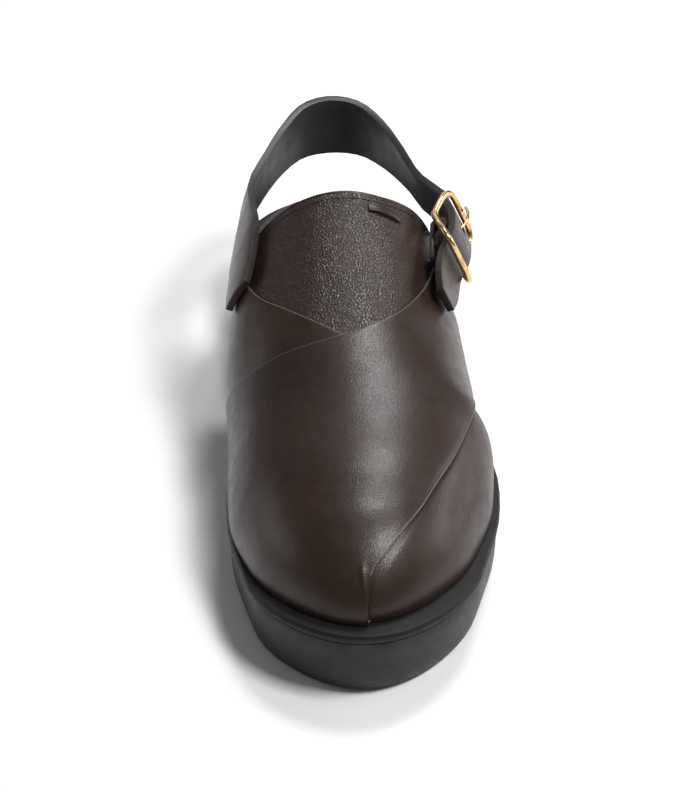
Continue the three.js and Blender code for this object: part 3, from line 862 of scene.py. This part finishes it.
def sheet(name: str, rows: int, columns: int, place: Place) -> Obj:
    """Lays a grid over a form.

    Args:
        name: the piece's name.
        rows: its squares along the first share.
        columns: its squares along the second share.
        place: gives the point, in millimetres, of two shares from 0 to 1.

    Returns:
        The sheet, with its points in metres and its faces outwards.
    """
    bpy.ops.object.select_all(action="DESELECT")
    bpy.ops.mesh.primitive_grid_add(x_subdivisions=rows, y_subdivisions=columns, size=1.0)
    obj = bpy.context.active_object
    obj.name = name
    obj.data.name = name
    for vertex in obj.data.vertices:
        vertex.co = place(clamp01(vertex.co.x + 0.5), clamp01(vertex.co.y + 0.5)) * MM
    merge_points(obj, 1e-6)
    point_outwards(obj)
    return obj


def skin(obj: Obj, thickness: float, rim: float) -> None:
    """Gives a sheet its thickness inwards, with rounded rims.

    Its material slots are then the outer face's, the inner face's and the rim's, in that order.

    Args:
        obj: the sheet, whose faces point outwards.
        thickness: in millimetres.
        rim: the rounding of its rims, in millimetres.
    """
    for _ in range(3):
        obj.data.materials.append(None)
    apply_modifier(
        obj, "SOLIDIFY", thickness=thickness * MM, offset=-1.0, use_even_offset=False,
        material_offset=1, material_offset_rim=2, use_rim=True,
    )
    round_edges(obj, rim, 50.0)


def tube(name: str, points: Sequence[Vector], radius: float) -> Obj:
    """Draws a round bar along points.

    Args:
        name: the piece's name.
        points: in millimetres.
        radius: in millimetres.

    Returns:
        A mesh.
    """
    curve = bpy.data.curves.new(name, "CURVE")
    curve.dimensions = "3D"
    curve.bevel_depth = radius * MM
    curve.bevel_resolution = 5
    curve.use_fill_caps = True
    spline = curve.splines.new("POLY")
    spline.points.add(len(points) - 1)
    for item, point in zip(spline.points, points):
        item.co = (*(point * MM), 1.0)
    only(stand(name, curve))
    bpy.ops.object.convert(target="MESH")
    made = bpy.context.active_object
    made.name = name
    merge_points(made, 1e-6)
    edit(made, lambda: bpy.ops.mesh.normals_make_consistent(inside=False))
    smooth_shade(made, 50.0)
    return made


def through(points: Sequence[Vector]) -> Line:
    """Makes a line through points.

    Args:
        points: two or more.

    Returns:
        A function of a share from 0 to 1.
    """

    def line(share: float) -> Vector:
        """Returns the point at a share of the way."""
        at = clamp01(share) * (len(points) - 1)
        i = min(len(points) - 2, int(at))
        return points[i].lerp(points[i + 1], at - i)

    return line


def stitches(name: str, line: Line, count: int, length: float, radius: float) -> Obj:
    """Sews a row of stitches.

    Args:
        name: the row's name.
        line: gives a point, in millimetres, for a share from 0 to 1.
        count: how many stitches.
        length: of a stitch, in millimetres.
        radius: of the thread, in millimetres.

    Returns:
        One mesh with all the stitches.
    """
    bpy.ops.object.select_all(action="DESELECT")
    bpy.ops.mesh.primitive_uv_sphere_add(segments=8, ring_count=6, radius=1.0)
    first = bpy.context.active_object
    first.data.transform(Matrix.Diagonal((radius * MM, radius * MM, length / 2 * MM, 1.0)))
    row = []
    for i in range(count):
        at = (i + 0.5) / count
        ahead = line(min(1.0, at + 0.2 / count)) - line(max(0.0, at - 0.2 / count))
        turn = ahead.to_track_quat("Z", "Y").to_matrix().to_4x4()
        stitch = stand(f"{name}_{i}", first.data.copy())
        stitch.data.transform(Matrix.Translation(line(at) * MM) @ turn)
        row.append(stitch)
    bpy.data.objects.remove(first)
    only(row[0])
    for stitch in row:
        stitch.select_set(True)
    bpy.ops.object.join()
    made = bpy.context.active_object
    made.name = name
    smooth_shade(made, 60.0)
    return made


# The upper


@dataclass(frozen=True)
class Upper:
    """The instep panel with its lining, and the two bands that cross over it.

    Sizes are in millimetres. The outer band settles on the panel from settle_start behind the
    inner band's edge, in the length settle, and a band's leather fills the seat of the room under
    it. The pinch is beside the toe seam's foot, the crossing's hollow is where the outer band
    leaves the inner one, and the press is on the outer side of the toe.
    """

    wall: float = 1.8
    band_gap: float = 0.8
    inner_band: float = 1.2
    outer_band: float = 1.4
    settle_start: float = 12.0
    settle: float = 20.0
    seat: float = 0.6
    bead: float = 0.42
    binding: float = 0.15
    rows: int = 120
    columns: int = 168
    pinch: Fold = Fold(0.55, -261.51, 4.72, 1.0 - 2.6 / ACROSS_MM, 2.2)
    crossing: Fold = Fold(-0.5, -118.0, 9.0, 1.42, 14.0)
    press: Fold = Fold(-0.9, -213.0, 20.0, 1.62, 5.0)

    @property
    def inner_top(self) -> float:
        """How far out the inner band's top face lies."""
        return self.band_gap + self.inner_band

    @property
    def toe_top(self) -> float:
        """How far out the outer band's top face lies in front, over the inner band."""
        return self.inner_top + self.band_gap + self.outer_band

    def outer_out(self, y: float, across: float) -> float:
        """Works out how far out the outer band's top face lies.

        Args:
            y: the place along the shoe.
            across: the place across.

        Returns:
            The distance out, in millimetres.
        """
        past = y - LAST.place_y(INNER_EDGE(across)) - self.settle_start
        lift = self.inner_top * (1 - smooth(past / self.settle))
        return self.band_gap + lift + self.outer_band

    def outer_relief(self, y: float, across: float) -> float:
        """Works out the soft folds of the outer band.

        Args:
            y: the place along the shoe.
            across: the place across.

        Returns:
            Their height, in millimetres outwards.
        """
        dip = -0.15 * bell(y - LAST.seam_y(across, 4.0), 5.0) if across > 1.1 else 0.0
        return self.pinch.at(y, across) + dip + self.crossing.at(y, across)

    def inner_relief(self, y: float, across: float) -> float:
        """Works out the soft folds of the inner band.

        Args:
            y: the place along the shoe.
            across: the place across.

        Returns:
            Their height, in millimetres outwards.
        """
        ahead = LAST.seam_y(across, self.inner_top) - y
        trough = -0.35 * bell(ahead - 4.0, 4.5) if across > 1.02 else 0.0
        return trough + self.press.at(y, across)

    def panel(self) -> Obj:
        """Makes the instep panel, which goes down to the welt and carries the bands.

        Returns:
            The panel.
        """

        def place(u: float, v: float) -> Vector:
            """Returns the point at two shares."""
            across = v * 2
            y = closer_in_front(u, LAST.upper_tip(0.0), LAST.place_y(MOUTH(across)))
            return LAST.point(y, across, 0.0)

        obj = sheet("instep_panel", self.rows, self.columns, place)
        skin(obj, self.wall, 0.55)
        finishes = (Finish.INSTEP, Finish.LINING, Finish.EDGE)
        return dress(obj, finishes, "grained_leather", "upper")

    def inner(self) -> Obj:
        """Makes the inner band, from the inner quarter to the outer side of the toe.

        Returns:
            The band.
        """
        top = self.inner_top

        def place(u: float, v: float) -> Vector:
            """Returns the point at two shares."""
            across = v * 2
            y = closer_in_front(u, LAST.upper_tip(top), LAST.place_y(INNER_EDGE(across)))
            return LAST.point(y, across, top + self.inner_relief(y, across))

        obj = sheet("inner_band_leather", self.rows, self.columns, place)
        skin(obj, self.inner_band + self.seat, 0.4)
        finishes = (Finish.BAND, Finish.LINING, Finish.EDGE)
        return dress(obj, finishes, "smooth_leather", "inner_band")

    def outer(self) -> Obj:
        """Makes the outer band, from the inner side of the toe to the buckle.

        Returns:
            The band.
        """

        def place(u: float, v: float) -> Vector:
            """Returns the point at two shares."""
            across = closer_in_middle(v)
            top = self.outer_out(LAST.upper_tip(self.toe_top), across)
            y = closer_in_front(u, LAST.seam_y(across, top), LAST.place_y(OUTER_EDGE(across)))
            return LAST.point(y, across, self.outer_out(y, across) + self.outer_relief(y, across))

        obj = sheet("outer_band_leather", self.rows, self.columns, place)
        skin(obj, self.outer_band + self.seat, 0.45)
        finishes = (Finish.BAND, Finish.LINING, Finish.EDGE)
        return dress(obj, finishes, "smooth_leather", "outer_band")

    def inner_rim(self, across: float) -> Vector:
        """Returns a point of the inner band's upper edge."""
        y = LAST.place_y(INNER_EDGE(across))
        return LAST.point(y, across, self.inner_top - self.bead + self.inner_relief(y, across))

    def outer_rim(self, across: float) -> Vector:
        """Returns a point of the outer band's upper edge."""
        y = LAST.place_y(OUTER_EDGE(across))
        out = self.outer_out(y, across) - self.bead + self.outer_relief(y, across)
        return LAST.point(y, across, out)

    def seam_rim(self, across: float) -> Vector:
        """Returns a point of the toe seam."""
        top = self.outer_out(LAST.upper_tip(self.toe_top), across)
        y = LAST.seam_y(across, top)
        return LAST.point(y, across, top - self.bead + self.outer_relief(y, across))

    def rims(self) -> list[Obj]:
        """Rolls the cut edges that show into thin beads, whose light colour is partly a painted
        highlight.

        Returns:
            The beads of both bands' upper edges and of the toe seam.
        """
        edges = (
            ("inner_band_rim", self.inner_rim, evenly(0.12, 1.12, 90)),
            ("outer_band_rim", self.outer_rim, evenly(0.04, 1.96, 150)),
            ("toe_seam_rim", self.seam_rim, evenly(1.03, 1.97, 120)),
        )
        beads = []
        for name, edge, places in edges:
            bead = tube(name, [edge(across) for across in places], self.bead)
            beads.append(dress(bead, (Finish.EDGE,), "smooth_leather"))
        return beads

    def mouth(self) -> Obj:
        """Makes the rolled binding of the mouth.

        Returns:
            The binding.
        """
        points = [
            LAST.point(LAST.place_y(MOUTH(across)), across, -self.wall / 2)
            for across in evenly(0.0, 2.0, 120)
        ]
        obj = tube("mouth_binding", points, self.wall / 2 + self.binding)
        return dress(obj, (Finish.BAND,), "smooth_leather")

    def mouth_row(self) -> Obj:
        """Sews the row beside the mouth's binding.

        Returns:
            The row.
        """

        def line(share: float) -> Vector:
            """Returns the point at a share of the row."""
            across = mix(0.42, 1.6, share)
            return LAST.point(LAST.place_y(MOUTH(across)) - 3.2, across, 0.12)

        row = stitches("mouth_stitches", line, count=42, length=1.9, radius=0.28)
        return dress(row, (Finish.THREAD,), "smooth_leather")

    def build(self) -> list[Obj]:
        """Makes and returns all the pieces of the upper."""
        sheets = [self.panel(), self.inner(), self.outer()]
        return [*sheets, *self.rims(), self.mouth(), self.mouth_row()]


# The sole


@dataclass(frozen=True)
class Sole:
    """The moulded outsole, the welt and the insole.

    The rubber's edges and the insole's rim are rounded, in millimetres.
    """

    edge_rounding: float = 0.5
    sock_rounding: float = 0.8

    def outsole(self) -> Obj:
        """Rounds the outsole's moulded edges.

        Returns:
            The outsole.
        """
        obj = carried_copy("outsole", "outsole_rubber")
        join_triangles(obj, 20.0, 30.0)
        round_edges(obj, self.edge_rounding, 32.0, 32.0, 2)
        return dress(obj, (Finish.SOLE,), "sole_rubber", "outsole")

    def welt(self) -> Obj:
        """Rounds the welt's lip.

        Returns:
            The welt.
        """
        obj = carried_copy("welt", "welt_lip")
        join_triangles(obj, 40.0)
        round_edges(obj, self.edge_rounding, 28.0, 24.0)
        return dress(obj, (Finish.WELT,), "welt_rubber", "welt")

    def insole(self) -> Obj:
        """Rounds the insole's rim.

        Returns:
            The insole.
        """
        obj = carried_copy("insole", "insole_sock")
        join_triangles(obj, 40.0)
        round_edges(obj, self.sock_rounding, 50.0)
        return dress(obj, (Finish.LINING,), "lining_leather", "insole")

    def build(self) -> list[Obj]:
        """Makes and returns all the pieces of the sole."""
        return [self.outsole(), self.welt(), self.insole()]


# The heel strap and the buckle


@dataclass(frozen=True)
class StrapAndBuckle:
    """The heel strap, the tab that holds the buckle, and the buckle.

    Sizes are in millimetres. A face is grain or lining where it looks squarely enough, by facing,
    away from the heel's middle or at it. Probes go up the outer face to find the strap's edges.
    """

    heel_middle: tuple[float, float] = (0.0, -45.0)
    facing: float = 0.45
    margin: float = 2.6
    probe_low: float = 50.0
    probe_step: float = 0.5
    probes: int = 90
    probe_reach: float = 90.0

    def strap(self) -> Obj:
        """Makes the strap: leather outside, lining inside and inked edges between them.

        Returns:
            The strap.
        """
        obj = carried_copy("heel_strap", "heel_strap_leather")
        join_triangles(obj, 40.0)
        middle = Vector((*self.heel_middle, 0.0)) * MM
        for face in obj.data.polygons:
            away = face.center - middle
            away.z = 0.0
            out = face.normal.dot(away.normalized())
            face.material_index = 0 if out > self.facing else 1 if out < -self.facing else 2
        round_edges(obj, 0.7, 50.0)
        finishes = (Finish.BAND, Finish.LINING, Finish.INK)
        return dress(obj, finishes, "smooth_leather", "heel_strap")

    def strap_edge(self, strap: Obj, turn: float, upper: bool) -> Vector:
        """Finds a point on the strap's outer face, a margin inside one of its edges.

        Args:
            strap: the strap.
            turn: the direction from the heel's middle in degrees, 0 to the outer side.
            upper: whether the point is at the upper edge.

        Returns:
            The point, in millimetres.
        """
        away = Vector((math.cos(math.radians(turn)), math.sin(math.radians(turn)), 0.0))
        found: list[Vector] = []
        for step in range(self.probes):
            foot = Vector((*self.heel_middle, self.probe_low + step * self.probe_step))
            hit, place, _, _ = strap.ray_cast((foot + away * self.probe_reach) * MM, -away)
            if hit:
                found.append(place / MM)
        end = found[-1] if upper else found[0]
        inside = -self.margin if upper else self.margin
        return min(found, key=lambda point: abs(point.z - end.z - inside))

    def strap_rows(self, strap: Obj) -> list[Obj]:
        """Sews a row along both edges of the strap.

        Args:
            strap: the strap.

        Returns:
            The rows.
        """
        rows = []
        for name, upper in (("strap_stitches_upper", True), ("strap_stitches_lower", False)):
            points = [self.strap_edge(strap, turn, upper) for turn in evenly(8.0, 168.0, 40)]
            row = stitches(name, through(points), count=60, length=2.0, radius=0.27)
            rows.append(dress(row, (Finish.THREAD,), "smooth_leather"))
        return rows

    def tab(self) -> Obj:
        """Makes the tab that is folded round the buckle's bar.

        Returns:
            The tab.
        """
        obj = carried_copy("buckle_tab", "buckle_tab_leather")
        round_edges(obj, 0.25, 40.0, segments=2)
        return dress(obj, (Finish.BAND,), "smooth_leather", "buckle_tab")

    def metal(self, node: str, name: str) -> Obj:
        """Makes a smooth round copy of a metal node.

        Args:
            node: the node's name.
            name: the piece's name.

        Returns:
            The piece.
        """
        obj = carried_copy(node, name)
        join_triangles(obj, 60.0)
        apply_modifier(obj, "SUBSURF", levels=2, render_levels=2)
        smooth_shade(obj, 60.0)
        return dress(obj, (Finish.GOLD,), "buckle_metal", node)

    def loop(self) -> Obj:
        """Makes the small bar that stands on the instep panel.

        Returns:
            The bar.
        """
        obj = carried_copy("instep_loop", "instep_bar")
        round_edges(obj, 0.3, 40.0, segments=2)
        return dress(obj, (Finish.BAND,), "smooth_leather", "instep_loop")

    def build(self) -> list[Obj]:
        """Makes all the pieces of the fastening.

        Returns:
            The pieces.
        """
        strap = self.strap()
        rows = self.strap_rows(strap)
        tab = self.tab()
        frame = self.metal("buckle_frame", "buckle_wire")
        prong = self.metal("buckle_prong", "prong_wire")
        return [strap, *rows, tab, frame, prong, self.loop()]


# The studio


def looking(at: Xyz, aim: Xyz) -> Euler:
    """Returns the turn of a camera or light that looks from one place to another."""
    return (Vector(aim) - Vector(at)).to_track_quat("-Z", "Y").to_euler()


@dataclass(frozen=True)
class SoftBox:
    """A soft rectangular light.

    Its place and its width and height are in metres, and its power is in watts.
    """

    name: str
    at: Xyz
    size: tuple[float, float]
    power: float

    def hang(self, aim: Xyz) -> None:
        """Hangs the light.

        Args:
            aim: the place that it looks at.
        """
        data = bpy.data.lights.new(self.name, "AREA")
        data.shape = "RECTANGLE"
        data.size, data.size_y = self.size
        data.energy = self.power
        obj = stand(self.name, data)
        obj.location = self.at
        obj.rotation_euler = looking(self.at, aim)


@dataclass(frozen=True)
class Studio:
    """The camera, the floor, the lights and the surroundings.

    Places and sizes are in metres, and the lens and its sensor are in millimetres.
    """

    camera_at: Xyz = (-0.0755, -1.1246, 0.7799)
    aim: Xyz = (-0.002, -0.130, 0.036)
    lens: float = 140.0
    sensor: float = 36.0
    floor_size: float = 12.0
    floor_tints: tuple[Rgb, Rgb] = ((0.95, 0.95, 0.955), (0.97, 0.97, 0.975))
    boxes: tuple[SoftBox, ...] = (
        SoftBox("key", (0.55, -0.50, 1.30), (0.36, 0.36), 14.0),
        SoftBox("overhead", (0.32, 0.55, 1.40), (0.36, 0.36), 11.0),
        SoftBox("inner_side", (-1.4, 0.2, 0.42), (1.0, 0.5), 2.5),
        SoftBox("outer_side", (1.4, 0.2, 0.5), (1.0, 0.5), 6.0),
        SoftBox("behind", (0.0, 1.4, 0.8), (1.6, 0.5), 3.0),
    )
    world_strength: float = 0.12

    def camera(self) -> None:
        """Places the camera at the photograph's angle, aimed at the shoe."""
        data = bpy.data.cameras.new("camera")
        data.lens = self.lens
        data.sensor_width = self.sensor
        data.sensor_fit = "AUTO"
        obj = stand("camera", data)
        obj.location = self.camera_at
        obj.rotation_euler = looking(self.camera_at, self.aim)
        bpy.context.scene.camera = obj

    def floor(self) -> None:
        """Lays a large pale floor."""
        bpy.ops.object.select_all(action="DESELECT")
        bpy.ops.mesh.primitive_plane_add(size=self.floor_size, location=(0.0, 0.0, 0.0))
        obj = bpy.context.active_object
        obj.name = "floor"
        n = Nodes("pale_floor")
        tint = n.blend(n.noise(0.6, 2.0), *self.floor_tints)
        obj.data.materials.append(n.shade(Base_Color=tint, Roughness=0.85))

    def surroundings(self) -> None:
        """Sets a faint white light all round, and plain tones for the view."""
        bpy.context.scene.view_settings.view_transform = "Standard"
        world = bpy.data.worlds.new("surroundings")
        world.use_nodes = True
        background = world.node_tree.nodes["Background"]
        background.inputs["Color"].default_value = (1.0, 1.0, 1.0, 1.0)
        background.inputs["Strength"].default_value = self.world_strength
        bpy.context.scene.world = world

    def build(self) -> None:
        """Sets up the camera, the floor, the lights and the surroundings."""
        self.camera()
        self.floor()
        for box in self.boxes:
            box.hang(self.aim)
        self.surroundings()


def main() -> None:
    """Builds the scene around the frame and reports each piece."""
    logging.basicConfig(level=logging.INFO, format="%(name)s %(message)s")
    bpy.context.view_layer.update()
    Studio().build()
    for assembly in (Sole(), Upper(), StrapAndBuckle()):
        for piece in assembly.build():
            LOG.info("%s: %d faces", piece.name, len(piece.data.polygons))


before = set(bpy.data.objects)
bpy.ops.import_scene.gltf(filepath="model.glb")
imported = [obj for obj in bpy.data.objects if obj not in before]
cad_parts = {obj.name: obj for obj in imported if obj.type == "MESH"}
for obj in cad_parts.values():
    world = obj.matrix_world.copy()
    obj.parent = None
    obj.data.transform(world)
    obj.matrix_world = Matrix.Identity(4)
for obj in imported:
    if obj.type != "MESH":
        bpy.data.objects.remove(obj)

if __name__ == "__main__":
    main()
